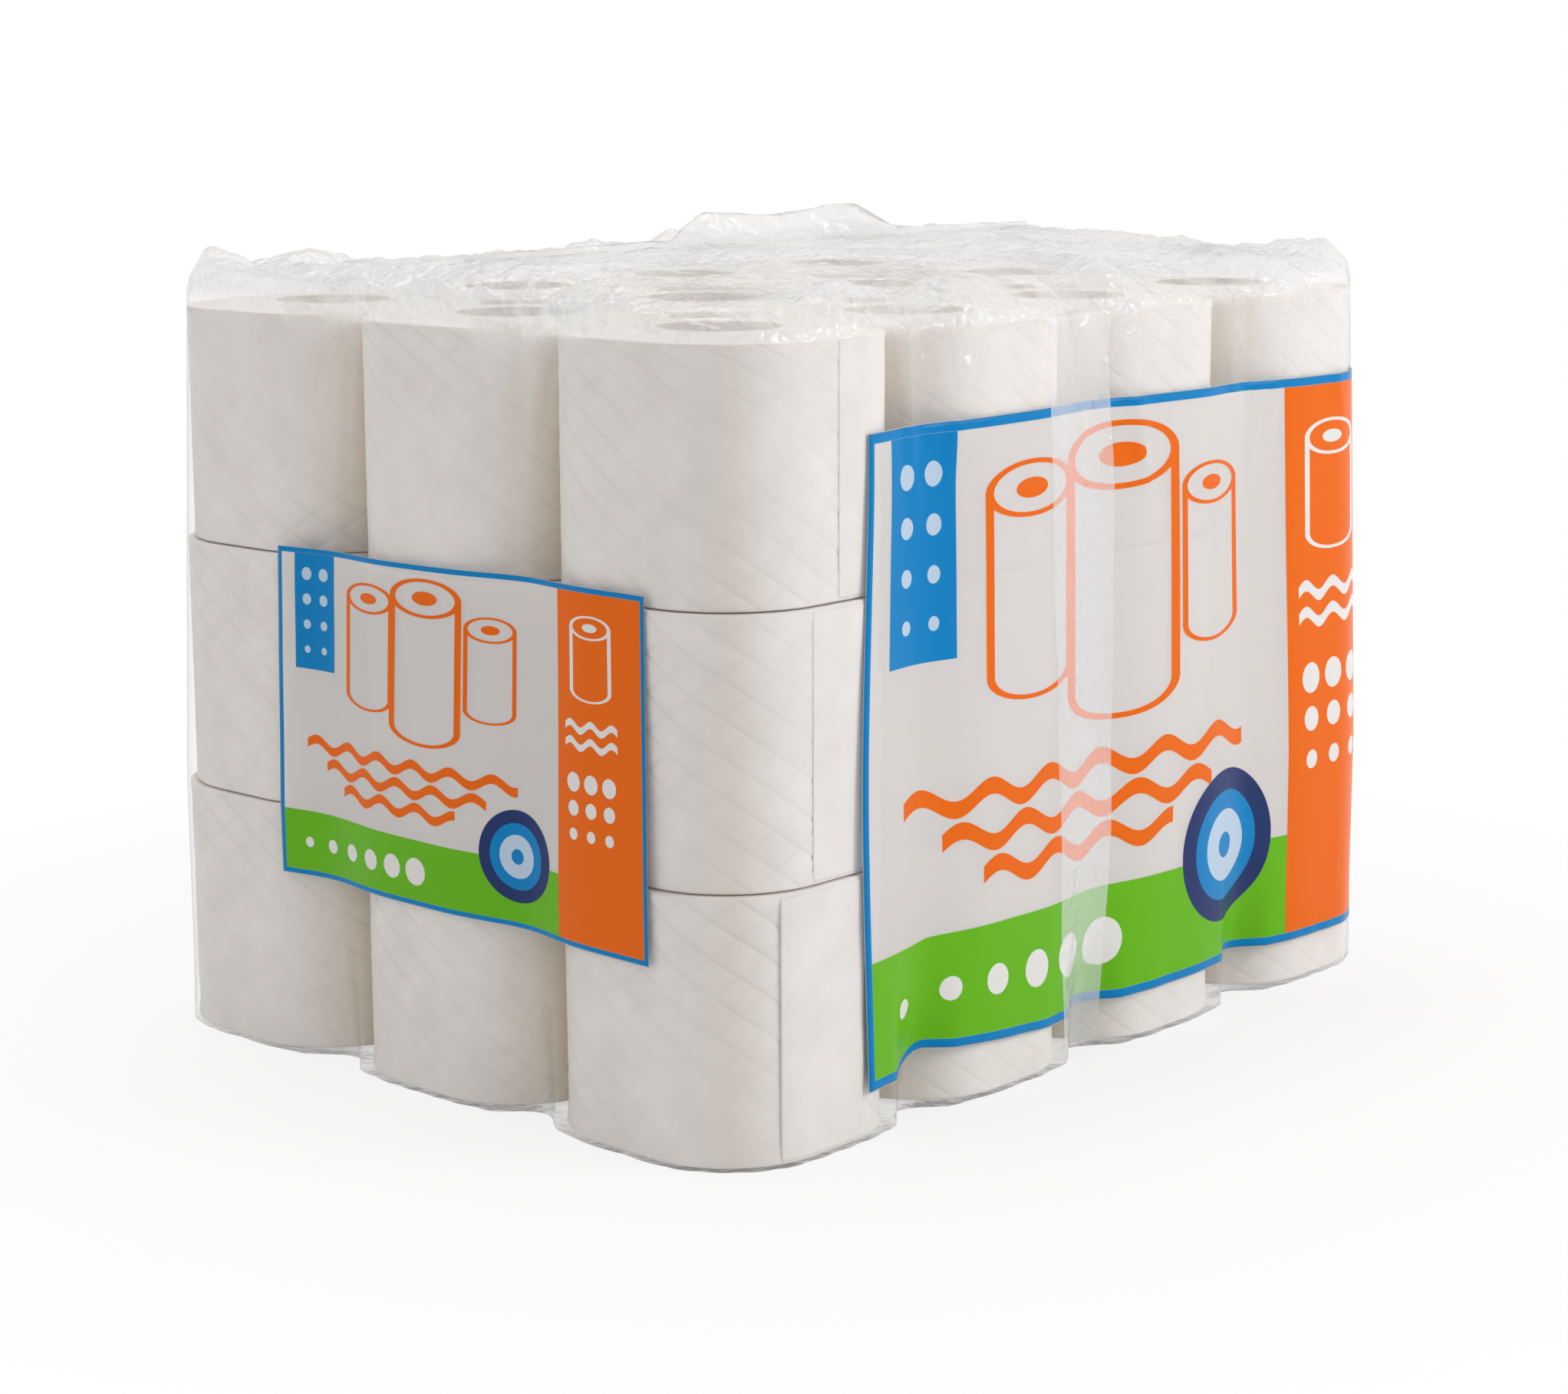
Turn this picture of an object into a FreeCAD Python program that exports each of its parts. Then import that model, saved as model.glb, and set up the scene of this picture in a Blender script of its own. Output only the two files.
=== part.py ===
"""A wrapped pack of thirty-six bathroom tissue rolls, in millimetres.

The rolls stand on end, four along X, three along Y and three high. They are pressed into rounded squares
by a clear film, which is folded and sealed over the top and stands on the ground at Z 0.
"""

import FreeCAD, Part
import math
import os

from FreeCAD import Vector

# How the rolls stand
columns = 4
rows = 3
layers = 3

# One roll of tissue
pitch_x = 101.8
pitch_y = 106.4
roll_height = 98.0
roll_corner = 40.0
corner_flats = 5
bore_radius = 22.5
tail_width = 0.8
tail_depth = 0.7

# One cardboard core
core_wall = 1.2
core_fit = 0.15
core_sides = 12

# Room between the pieces
roll_gap = 0.6
layer_gap = 0.4
film_room = 0.8

# The film
film_wall = 0.5
edge_round = 0.8
lean = 0.015
valley_depth = 4.5
foot_tuck = 3.0
lap_left = -28.0
lap_width = 37.0
lap_step = 0.5

# The folded top of the film
top_rise = 12.0
pleat_height = 2.6
gather_depth = 3.0
corner_tip = 8.0
seal_length = 320.0
seal_thickness = 3.0
seal_height = 4.0
seal_bow = 0.03
flap_centre = 8.0
flap_length = 112.0
flap_height = 14.0
flap_lean = 7.0

# How finely the film is drawn
valley_steps = (-0.26, -0.09, 0.0, 0.09, 0.26)
top_steps = (0.05, 0.22, 0.46, 0.74)
joining = 0.0001

# Heights and half widths that follow from the sizes above
floor_clear = film_wall + layer_gap
layer_pitch = roll_height + layer_gap
stack_top = floor_clear + layers * layer_pitch - layer_gap
half_x = columns * pitch_x / 2
half_y = rows * pitch_y / 2
skin_offset = film_room + film_wall


def spread(layer):
    """The pack leans in a little towards its folded top: lower layers stand wider."""
    return 1 + lean * ((layers - 1) / 2 - layer)


def centre_of(column, row, layer):
    """The middle of a roll's foot."""
    wide = spread(layer)
    x = (column - (columns - 1) / 2) * pitch_x * wide
    y = (row - (rows - 1) / 2) * pitch_y * wide
    return Vector(x, y, floor_clear + layer * layer_pitch)


def rounded_square(half_a, half_b, radius):
    """A closed wire of four straight runs and four round corners in short flats, about the origin."""
    points = []
    for turn, (side_a, side_b) in enumerate(((1, 1), (-1, 1), (-1, -1), (1, -1))):
        for i in range(corner_flats + 1):
            angle = (turn + i / corner_flats) * math.pi / 2
            x = side_a * (half_a - radius) + radius * math.cos(angle)
            y = side_b * (half_b - radius) + radius * math.sin(angle)
            points.append(Vector(x, y, 0))
    return Part.makePolygon(points + points[:1])


def many_sided(radius):
    """A closed wire with a core's many flat sides, about the origin."""
    step = 2 * math.pi / core_sides
    points = [Vector(radius * math.cos(i * step), radius * math.sin(i * step), 0) for i in range(core_sides)]
    return Part.makePolygon(points + points[:1])


def ring_face(outline, hole):
    """A flat face with one hole in it."""
    return Part.makeFace([outline, hole], "Part::FaceMakerCheese")


def edge_reach(half_a, half_b, radius, angle):
    """The point where a ray from a rounded square's corner centre, or its flat, leaves the outline."""
    c, s = math.cos(angle), math.sin(angle)
    x = math.copysign(half_a - radius, c) + radius * c
    y = math.copysign(half_b - radius, s) + radius * s
    return Vector(x, y, 0)


def tail_angle(column, row, layer):
    """Where the last sheet of a roll ends, in degrees round the roll."""
    return 244 + 14 * layer + 97 * column + 61 * row


def make_roll(column, row, layer):
    """One wound roll, with the bore for its core and the line of its last sheet down its side."""
    half_a = (pitch_x * spread(layer) - roll_gap) / 2
    half_b = (pitch_y * spread(layer) - roll_gap) / 2
    outline = rounded_square(half_a, half_b, roll_corner)
    roll = ring_face(outline, many_sided(bore_radius)).extrude(Vector(0, 0, roll_height))
    angle = math.radians(tail_angle(column, row, layer))
    groove = Part.makeBox(2 * tail_depth, tail_width, roll_height, Vector(-tail_depth, -tail_width / 2, 0))
    groove.rotate(Vector(0, 0, 0), Vector(0, 0, 1), math.degrees(angle))
    groove.translate(edge_reach(half_a, half_b, roll_corner, angle))
    roll = roll.cut(groove).Solids[0]
    roll.translate(centre_of(column, row, layer))
    return roll


def make_core(column, row, layer):
    """One cardboard tube, as long as its roll."""
    outer = bore_radius - core_fit
    core = ring_face(many_sided(outer), many_sided(outer - core_wall)).extrude(Vector(0, 0, roll_height))
    core.translate(centre_of(column, row, layer))
    return core


def side_run(count, pitch, half):
    """Places along one side of the film as (place, valley share), from one corner round to the other."""
    places = [(roll_corner - half, 0.0)]
    for valley in range(1, count):
        middle = valley * pitch - half
        if valley > 1:
            places.append((middle - pitch / 2, 0.0))
        for step in valley_steps:
            share = (1 + math.cos(2 * math.pi * step)) / 2
            places.append((middle + step * pitch, share**2))
    places.append((half - roll_corner, 0.0))
    return places


def corner_run(centre_x, centre_y, start):
    """Points between two sides, round a corner, as (point, outward way, valley share, lap share)."""
    run = []
    for i in range(1, corner_flats):
        angle = start + i * math.pi / 2 / corner_flats
        way = Vector(math.cos(angle), math.sin(angle), 0)
        run.append((Vector(centre_x, centre_y, 0) + way * roll_corner, way, 0.0, 0.0))
    return run


def lapped_places():
    """Places along a long side as (place, valley share, lap share): the film's two edges overlap in one strip."""
    run = []
    for place, valley in side_run(columns, pitch_x, half_x):
        run.append((place, valley, 1.0 if lap_left < place < lap_left + lap_width else 0.0))
    for edge, inward in ((lap_left, 1), (lap_left + lap_width, -1)):
        off = (edge % pitch_x) / pitch_x
        valley = ((1 + math.cos(2 * math.pi * off)) / 2) ** 2
        run.append((edge, valley, 0.0))
        run.append((edge + inward * lap_step, valley, 1.0))
    return sorted(run)


def film_track():
    """The film's way round the pack, anticlockwise from the middle of the +X side."""
    track = []
    inner_x, inner_y = half_x - roll_corner, half_y - roll_corner
    short_places = side_run(rows, pitch_y, half_y)
    long_places = lapped_places()
    for place, valley in short_places:
        track.append((Vector(half_x, place, 0), Vector(1, 0, 0), valley, 0.0))
    track += corner_run(inner_x, inner_y, 0)
    for place, valley, lap in reversed(long_places):
        track.append((Vector(place, half_y, 0), Vector(0, 1, 0), valley, 0.0))
    track += corner_run(-inner_x, inner_y, math.pi / 2)
    for place, valley in reversed(short_places):
        track.append((Vector(-half_x, place, 0), Vector(-1, 0, 0), valley, 0.0))
    track += corner_run(-inner_x, -inner_y, math.pi)
    for place, valley, lap in long_places:
        track.append((Vector(place, -half_y, 0), Vector(0, -1, 0), valley, lap))
    track += corner_run(inner_x, -inner_y, 3 * math.pi / 2)
    start = [i for i, spot in enumerate(track) if spot[0].x == half_x and abs(spot[0].y) < 1e-6][0]
    return track[start:] + track[:start]


def wall_ring(track, z, wide, inset, dip, lapped):
    """One level of the film's wall: the track spread by wide, pulled in by inset and by the valleys."""
    ring = []
    for point, way, valley, lap in track:
        push = skin_offset - inset - dip * valley + (lap_step * lap if lapped else 0.0)
        place = Vector(point.x * wide, point.y * wide, z) + way * push
        ring.append(place)
    return ring


def pleat(x, y):
    """How far a gather lifts the folded film, from 0 to 1, following no grid."""
    waves = math.sin(0.071 * x + 0.043 * y) + math.sin(0.113 * y - 0.037 * x + 1.7) + math.sin(0.19 * x + 0.6)
    return (waves + 3) / 6


def corner_share(x, y):
    """1 in the corners of the top, falling to 0 away from them."""
    away_x = (half_x - abs(x)) / roll_corner
    away_y = (half_y - abs(y)) / roll_corner
    return max(0.0, 1 - 0.7 * math.hypot(away_x, away_y))


def top_ring(track, part, drop):
    """One level of the folded top, part of the way from the pack's edge to the long seal."""
    narrow_x = 1 - part * (1 - seal_length / 2 / half_x)
    narrow_y = 1 - part * (1 - seal_thickness / 2 / half_y)
    wide = spread(layers - 1)
    ring = []
    for point, way, valley, lap in track:
        bow = 1 - seal_bow * part * (point.y / half_y) ** 2
        push = skin_offset - drop - valley_depth * valley * (1 - part) ** 4
        x = (point.x * wide + way.x * push) * narrow_x * bow
        y = (point.y * wide + way.y * push) * narrow_y
        rise = top_rise * part**0.8 + pleat_height * pleat(x, y) * math.sin(math.pi * min(1, part + 0.2))
        rise += corner_tip * corner_share(x / wide, y / wide)
        rise -= gather_depth * valley * (1 - part) ** 2
        ring.append(Vector(x, y, stack_top + film_room + skin_offset - drop + rise))
    return ring


def seal_ring(base):
    """The upper edge of the long seal, which stands up as a flap in the middle and leans over."""
    ring = []
    for point in base:
        share = max(0.0, 1 - abs(point.x - flap_centre) / (flap_length / 2)) ** 0.35
        lift = seal_height + (flap_height - seal_height) * share
        ring.append(point + Vector(0, flap_lean * lift / flap_height, lift))
    return ring


def band(low, high, count):
    """Three-cornered facets between two rings, given by the numbers of their first points, facing outwards."""
    facets = []
    for i in range(count):
        j = (i + 1) % count
        facets.append((low + i, low + j, high + j))
        facets.append((low + i, high + j, high + i))
    return facets


def foot_fan(count, middle):
    """Facets from the lowest ring, whose first point is number 0, to the middle of the foot, facing down."""
    return [((i + 1) % count, i, middle) for i in range(count)]


def seal_strip(first, count):
    """Facets that close the highest ring, whose points pair up across the X axis, facing up."""
    half = count // 2
    facets = [(0, 1, count - 1)]
    for i in range(1, half - 1):
        facets.append((i, i + 1, count - i - 1))
        facets.append((i, count - i - 1, count - i))
    facets.append((half - 1, half, half + 1))
    return [(first + a, first + b, first + c) for a, b, c in facets]


def skin(track, drop, lapped, with_seal):
    """One closed surface of the film, drop inside the outermost one."""
    foot = edge_round + drop
    rings = [wall_ring(track, drop, spread(0), foot, valley_depth + foot_tuck, lapped)]
    rings.append(wall_ring(track, foot, spread(0), drop, valley_depth + foot_tuck, lapped))
    for layer in range(layers):
        level = floor_clear + (layer + 1) * layer_pitch - layer_gap
        rings.append(wall_ring(track, level, spread(layer), drop, valley_depth, lapped))
    crown = stack_top + film_room
    rings.append(wall_ring(track, crown, spread(layers - 1), drop, valley_depth, lapped))
    for part in top_steps + (1.0,):
        rings.append(top_ring(track, part, drop))
    if with_seal:
        rings.append(seal_ring(rings[-1]))
    points = [point for ring in rings for point in ring]
    count = len(track)
    facets = foot_fan(count, len(points))
    for level in range(len(rings) - 1):
        facets += band(level * count, (level + 1) * count, count)
    facets += seal_strip((len(rings) - 1) * count, count)
    shell = Part.Shape()
    shell.makeShapeFromMesh((points + [Vector(0, 0, drop)], facets), joining)
    return shell


def make_film():
    """The clear film: one thin closed wall round the whole pack, folded and sealed over the top."""
    track = film_track()
    outside = skin(track, 0.0, True, True)
    inside = skin(track, film_wall, False, False)
    return Part.makeSolid(Part.makeCompound([outside, inside.reversed()]))


def write(name, shape):
    print(name, "solids", len(shape.Solids), "valid", shape.isValid(), "volume", round(shape.Volume))
    shape.exportStep("parts/" + name + ".step")


os.makedirs("parts", exist_ok=True)
for column in range(columns):
    for row in range(rows):
        for layer in range(layers):
            name = "roll_layer%d_row%d_column%d" % (layer + 1, row + 1, column + 1)
            write(name, make_roll(column, row, layer))
        cores = [make_core(column, row, layer) for layer in range(layers)]
        write("cores_row%d_column%d" % (row + 1, column + 1), Part.makeCompound(cores))
write("film_wrap", make_film())
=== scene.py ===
# %% [markdown]
# # A clear film pack of toilet rolls
# Thirty-six quilted rolls are pressed into rounded squares by a thin clear film that is sealed down one
# long face and folded over the top. The solids give every place and size, so this lesson only adds looks:
# embossed paper, cardboard, crumpled film and two printed panels.

import math

import bmesh
import bpy
import numpy as np
from mathutils import Matrix, Vector


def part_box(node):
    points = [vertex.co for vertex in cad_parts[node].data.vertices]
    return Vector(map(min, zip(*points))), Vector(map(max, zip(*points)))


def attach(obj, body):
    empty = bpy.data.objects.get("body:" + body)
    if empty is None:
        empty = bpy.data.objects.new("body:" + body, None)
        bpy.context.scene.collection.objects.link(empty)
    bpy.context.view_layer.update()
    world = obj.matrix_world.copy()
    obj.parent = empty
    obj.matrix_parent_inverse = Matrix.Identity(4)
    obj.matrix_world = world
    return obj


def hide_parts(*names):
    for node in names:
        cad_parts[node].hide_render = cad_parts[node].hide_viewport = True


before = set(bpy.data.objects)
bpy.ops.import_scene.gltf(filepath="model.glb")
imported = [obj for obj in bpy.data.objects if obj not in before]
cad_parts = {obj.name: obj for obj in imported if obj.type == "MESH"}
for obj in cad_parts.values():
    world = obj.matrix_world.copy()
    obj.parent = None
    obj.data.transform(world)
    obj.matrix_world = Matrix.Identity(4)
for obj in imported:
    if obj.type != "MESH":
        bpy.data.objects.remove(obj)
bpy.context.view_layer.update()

# %% [markdown]
# A roll's name holds its layer, row and column, so the pitch between rolls and how much each layer spreads
# are read from neighbouring boxes instead of guessed.

# %% Sizes read from the frame
COLUMNS, ROWS, LAYERS = 4, 3, 3


def roll_name(layer, row, column):
    return "roll_layer%d_row%d_column%d" % (layer, row, column)


def roll_box(layer, row, column):
    low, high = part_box(roll_name(layer, row, column))
    return Vector(low), Vector(high)


def roll_middle(layer, row, column):
    low, high = roll_box(layer, row, column)
    return (low + high) / 2


mm = 0.001
pitch_x = (roll_middle(2, 1, 2) - roll_middle(2, 1, 1)).x
pitch_y = (roll_middle(2, 2, 1) - roll_middle(2, 1, 1)).y
half_x = COLUMNS * pitch_x / 2
half_y = ROWS * pitch_y / 2
layer_tops = [roll_box(layer, 1, 1)[1].z for layer in (1, 2, 3)]
layer_spread = [(roll_middle(layer, 1, 2) - roll_middle(layer, 1, 1)).x / pitch_x for layer in (1, 2, 3)]
stack_top = layer_tops[-1]
corner_radius = 40 * mm
film_top = Vector(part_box("film_wrap")[1]).z
roll_places = [(layer, row, column) for layer in range(1, LAYERS + 1) for row in range(1, ROWS + 1)
               for column in range(1, COLUMNS + 1)]

# %% [markdown]
# A mesh is quickest to make from a grid of points. These helpers turn rings of points into quads, grids into
# thin closed sheets, and both into objects, so each piece below only has to say where its points lie.

# %% Helpers for meshes


def srgb(red, green, blue):
    """A colour given as on a screen, 0 to 255, as the shader's linear values."""
    shares = [value / 255 for value in (red, green, blue)]
    linear = [s / 12.92 if s <= 0.04045 else ((s + 0.055) / 1.055) ** 2.4 for s in shares]
    return (*linear, 1.0)


def shown(name, data):
    """An object at the origin that holds some data, put into the scene."""
    item = bpy.data.objects.new(name, data)
    bpy.context.scene.collection.objects.link(item)
    return item


def smooth_piece(name, points, faces):
    """A new smooth object from points in metres and faces."""
    mesh = bpy.data.meshes.new(name)
    mesh.from_pydata(np.asarray(points).tolist(), [], faces)
    mesh.polygons.foreach_set("use_smooth", [True] * len(mesh.polygons))
    return shown(name, mesh)


def numbered(first, count):
    """The numbers of a ring's points."""
    return list(range(first, first + count))


def band(low, high):
    """Quads between two closed rings of point numbers."""
    return [(a, b, d, c) for a, b, c, d in zip(low, low[1:] + low[:1], high, high[1:] + high[:1])]


def point_values(mesh, name, values):
    """A number for each point of a mesh, which a material can read by its name."""
    layer = mesh.attributes.new(name, "FLOAT", "POINT")
    layer.data.foreach_set("value", np.asarray(values, dtype=np.float32))


def edged(count):
    """Shares from 0 to 1 with short first and last steps, so that smooth shading keeps off a sheet's edge."""
    return np.concatenate([[0, 0.008], np.linspace(0.024, 0.976, count), [0.992, 1]])


def closed_sheet(name, outer, inner):
    """A thin closed sheet from two grids of points, rows by columns, seen with its columns to the right."""
    rows, columns = outer.shape[:2]
    count = rows * columns
    grid = np.arange(count).reshape(rows, columns)
    a, b, c, d = grid[:-1, :-1], grid[:-1, 1:], grid[1:, 1:], grid[1:, :-1]
    front, back = np.stack([a, b, c, d], axis=-1), np.stack([a, d, c, b], axis=-1) + count
    faces = np.stack([front, back], axis=2).reshape(-1, 4).tolist()
    edge = np.concatenate([grid[0], grid[1:, -1], grid[-1, -2::-1], grid[-2:0:-1, 0]]).tolist()
    for here, after in zip(edge, edge[1:] + edge[:1]):
        faces.append((here, here + count, after + count, after))
    return smooth_piece(name, np.vstack([outer.reshape(-1, 3), inner.reshape(-1, 3)]), faces)


# %% [markdown]
# ## Shared shader groups
# Paper, cardboard and film all need fine uneven grain. A node group holds the effect once, with a named
# input for its scale and strength, and every material places it with its own values.

# %% A shader group for fine grain


def new_group(name, inputs, outputs):
    """An empty shader group with its inputs and outputs declared."""
    group = bpy.data.node_groups.new(name, "ShaderNodeTree")
    for label, kind, value in inputs:
        socket = group.interface.new_socket(label, in_out="INPUT", socket_type=kind)
        if value is not None:
            socket.default_value = value
    for label, kind in outputs:
        group.interface.new_socket(label, in_out="OUTPUT", socket_type=kind)
    return group, group.nodes.new("NodeGroupInput"), group.nodes.new("NodeGroupOutput")


def fed(tree, node, values):
    """Links outputs to a node's inputs, or sets them to numbers or colours, and gives the node back."""
    for label, value in values.items():
        if isinstance(value, bpy.types.NodeSocket):
            tree.links.new(value, node.inputs[label])
        else:
            node.inputs[label].default_value = value
    return node


def added(tree, kind, values):
    return fed(tree, tree.nodes.new(kind), values)


def grouped(tree, group, values):
    """A node that places a group in another tree."""
    node = tree.nodes.new("ShaderNodeGroup")
    node.node_tree = group
    return fed(tree, node, values)


def calc(tree, operation, *values, clamp=False):
    """A Math node fed by numbers or sockets; gives its output socket."""
    node = added(tree, "ShaderNodeMath", dict(enumerate(values)))
    node.operation = operation
    node.use_clamp = clamp
    return node.outputs[0]


def grain_group():
    group, given, result = new_group(
        "fine grain",
        [("Vector", "NodeSocketVector", None), ("Scale", "NodeSocketFloat", 400.0),
         ("Stretch", "NodeSocketFloat", 1.0)],
        [("Grain", "NodeSocketFloat"), ("Cloud", "NodeSocketFloat")])
    split = added(group, "ShaderNodeSeparateXYZ", {0: given.outputs["Vector"]}).outputs
    tall = calc(group, "MULTIPLY", split[2], given.outputs["Stretch"])
    place = added(group, "ShaderNodeCombineXYZ", {0: split[0], 1: split[1], 2: tall}).outputs[0]
    for label, share, detail in (("Grain", 1.0, 4.0), ("Cloud", 0.06, 2.0)):
        scale = calc(group, "MULTIPLY", given.outputs["Scale"], share)
        noise = added(group, "ShaderNodeTexNoise", {"Vector": place, "Scale": scale, "Detail": detail})
        group.links.new(noise.outputs["Fac"], result.inputs[label])
    return group


grain = grain_group()


def new_material(name):
    """A new material, its node tree and its Principled shader."""
    material = bpy.data.materials.new(name)
    material.use_nodes = True
    tree = material.node_tree
    return material, tree, tree.nodes["Principled BSDF"]


def place_grain(tree, scale, stretch=1.0):
    """The grain group on Object coordinates; gives its outputs."""
    where = tree.nodes.new("ShaderNodeTexCoord").outputs["Object"]
    return grouped(tree, grain, {"Scale": scale, "Stretch": stretch, "Vector": where}).outputs


def stored(tree, name):
    """The values that point_values stored under a name."""
    node = tree.nodes.new("ShaderNodeAttribute")
    node.attribute_name = name
    return node.outputs["Fac"]


def tint(tree, factor, low, high):
    """A colour that runs from low to high in the middle of a factor's range."""
    node = added(tree, "ShaderNodeValToRGB", {0: factor})
    for element, colour, position in zip(node.color_ramp.elements, (low, high), (0.3, 0.7)):
        element.color = colour
        element.position = position
    return node.outputs["Color"]


def blend(tree, factor, low, high):
    """A colour mixed towards another by a factor."""
    mix = tree.nodes.new("ShaderNodeMix")
    mix.data_type = "RGBA"
    return fed(tree, mix, {0: factor, 6: low, 7: high}).outputs[2]


def bump(tree, height, strength, distance):
    values = {"Strength": strength, "Distance": distance, "Height": height}
    return added(tree, "ShaderNodeBump", values).outputs["Normal"]


# %% [markdown]
# ## Paper and cardboard
# Tissue is white and matt, with a soft fibrous grain. Subsurface light would glow too much under film, so
# the grain and a faint warm cloud carry the softness. Deep between the rolls the white is mixed to beige, a
# painted shade, and the quilting grooves are darkened too. Cardboard is the same recipe with browner fibres.

# %% Materials for paper and cardboard


def tissue_material():
    material, tree, shader = new_material("tissue paper")
    fibres = place_grain(tree, 900.0)
    white = tint(tree, fibres["Cloud"], srgb(239, 233, 228), srgb(247, 242, 237))
    # Deep between the rolls, by the inside value, the white turns beige: painted shade.
    warm = blend(tree, stored(tree, "inside"), white, srgb(228, 216, 198))
    # Along the quilting grooves the paper is darkened: partly the pressed paper's own tone and partly painted
    # shade.
    faint = calc(tree, "MULTIPLY", stored(tree, "pressed"), 0.16)
    fed(tree, shader, {"Base Color": blend(tree, faint, warm, srgb(190, 184, 176)), "Roughness": 0.92,
                       "Specular IOR Level": 0.2, "Normal": bump(tree, fibres["Grain"], 0.3, 0.3 * mm)})
    return material


def cardboard_material():
    material, tree, shader = new_material("core cardboard")
    fibres = place_grain(tree, 500.0, 0.3)
    brown = tint(tree, fibres["Grain"], srgb(150, 132, 110), srgb(182, 164, 142))
    normal = bump(tree, fibres["Grain"], 0.4, 0.2 * mm)
    fed(tree, shader, {"Base Color": brown, "Roughness": 0.85, "Normal": normal})
    return material


tissue = tissue_material()
cardboard = cardboard_material()

# %% [markdown]
# ## Quilted rolls
# A roll's side shows slanted lines pressed into the paper, pillows between them, and the loose edge of the
# last sheet. The mesh is a grid wrapped round a rounded square, and its pillows and lines are true relief,
# so they catch light without any bump. The grooves are also darker in the paper's colour: partly the pressed
# paper's own tone and partly painted shade.

# %% The quilting rule
DIAMONDS_ROUND = 18
HALF_DIAMONDS_UP = 14
# Places across one diamond where points lie: close together at the groove and far apart on the pillow.
STOPS = np.array([0.0, 0.05, 0.15, 0.5, 0.85, 0.95])
GROOVE_WIDTH = 0.06
GROOVE_DEPTH = 0.38 * mm
FAINT = 0.55
PILLOW = 0.16 * mm
RIM_ROUND = 1.0 * mm
DENT = 0.5 * mm
CORE_RADIUS = 22.45 * mm
TAIL_LIFT = 0.15 * mm
TAIL_WIDTH = 42 * mm


def lattice_stop(index):
    """Where a lattice line lies, counted in diamonds."""
    return index // len(STOPS) + STOPS[index % len(STOPS)]


def quilt_depth(strong, faint):
    """How far the paper lies below its highest level, and how hard it is pressed, at two slanted counts."""
    off = [np.abs(count - np.round(count)) for count in (strong, faint)]
    grooves = [np.exp(-((part / GROOVE_WIDTH) ** 2)) for part in off]
    dome = np.sqrt(np.sin(math.pi * np.clip(off[0], 0, 0.5)) * np.sin(math.pi * np.clip(off[1], 0, 0.5)))
    pressed = np.maximum(grooves[0], FAINT * grooves[1])
    return GROOVE_DEPTH * pressed + PILLOW * (1 - dome), pressed

# %% [markdown]
# The grooves would look ragged if they crossed the mesh at random. So the mesh's own lines run along both
# sets of grooves, and a whole number of diamonds fits round and up the roll, so the grid closes on itself.

# %% The slanted grid, shared by all rolls
LINES_ROUND = DIAMONDS_ROUND * len(STOPS)
LINES_UP = HALF_DIAMONDS_UP * len(STOPS)
line_index, up_index = np.meshgrid(np.arange(LINES_ROUND), np.arange(LINES_UP + 1), indexing="ij")
falling = lattice_stop(line_index)
rising = lattice_stop(line_index + up_index)
share_round = (rising + falling) / 2 / DIAMONDS_ROUND
share_up = (rising - falling) / HALF_DIAMONDS_UP
relief, pressed = quilt_depth(rising, falling)


def slanted_faces():
    """Faces of the slanted grid, with triangles where it meets the level rims."""
    tall = LINES_UP + 1
    faces = []
    for line in range(LINES_ROUND):
        here, after = line * tall, (line + 1) % LINES_ROUND * tall
        faces.append((here, after, here + 1))
        for up in range(1, LINES_UP):
            faces.append((here + up, after + up - 1, after + up, here + up + 1))
        faces.append((here + LINES_UP, after + LINES_UP - 1, after + LINES_UP))
    return faces


quilt_faces = slanted_faces()
# %% Places round a roll


def roll_outline(half_a, half_b, radius):
    """Points and outward ways along a rounded square, anticlockwise from its front left, with lengths."""
    spots = []
    for turn, (a, b) in enumerate(((-1, -1), (1, -1), (1, 1), (-1, 1))):
        start = math.pi + turn * math.pi / 2
        for angle in np.linspace(start, start + math.pi / 2, 24):
            way = (math.cos(angle), math.sin(angle))
            centre = a * (half_a - radius), b * (half_b - radius)
            spots.append((centre[0] + radius * way[0], centre[1] + radius * way[1], *way))
    spots.append(spots[0])
    spots = np.array(spots)
    gaps = np.hypot(*(spots[1:, :2] - spots[:-1, :2]).T)
    return spots, np.concatenate([[0], np.cumsum(gaps)])


low, high = roll_box(1, 1, 1)
track_spots, track_lengths = roll_outline((high.x - low.x) / 2, (high.y - low.y) / 2, corner_radius)
ROUND = track_lengths[-1]
ROLL_TALL = high.z - low.z


def outline_at(length):
    """The point and outward way at a length round the roll."""
    length = np.mod(length, ROUND)
    values = [np.interp(length, track_lengths, track_spots[:, k]) for k in range(4)]
    flat, way = np.stack(values[:2], axis=-1), np.stack(values[2:], axis=-1)
    return flat, way / np.linalg.norm(way, axis=-1, keepdims=True)

# %% [markdown]
# Crumpled sheets are made of flat facets that meet in sharp lines. A few triangle waves in random
# directions, with a fixed seed, make them, and the soft dents of each roll too.

# %% Waves for folds
rng = np.random.default_rng(36)


def make_waves(count, shortest, longest):
    """Random directions, wavelengths and phases for a set of folds."""
    angle = rng.uniform(0, math.pi, count)
    length = np.exp(rng.uniform(math.log(shortest), math.log(longest), count))
    return np.column_stack([np.cos(angle) / length, np.sin(angle) / length, rng.uniform(0, 1, count), length])


def folds(waves, a, b):
    """Height of the folds from 0 to 1 at flat coordinates a and b."""
    total = np.zeros_like(a)
    weight = 0.0
    warp = 0.35 * np.sin(a * 31 + b * 17) + 0.25 * np.sin(b * 43 - a * 11)
    for along_a, along_b, phase, length in waves:
        turn = a * along_a + b * along_b + phase + warp
        share = length**0.7
        total += share * np.abs(2 * (turn - np.floor(turn + 0.5)))
        weight += share
    return total / weight


paper_waves = make_waves(6, 40 * mm, 90 * mm)

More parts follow.
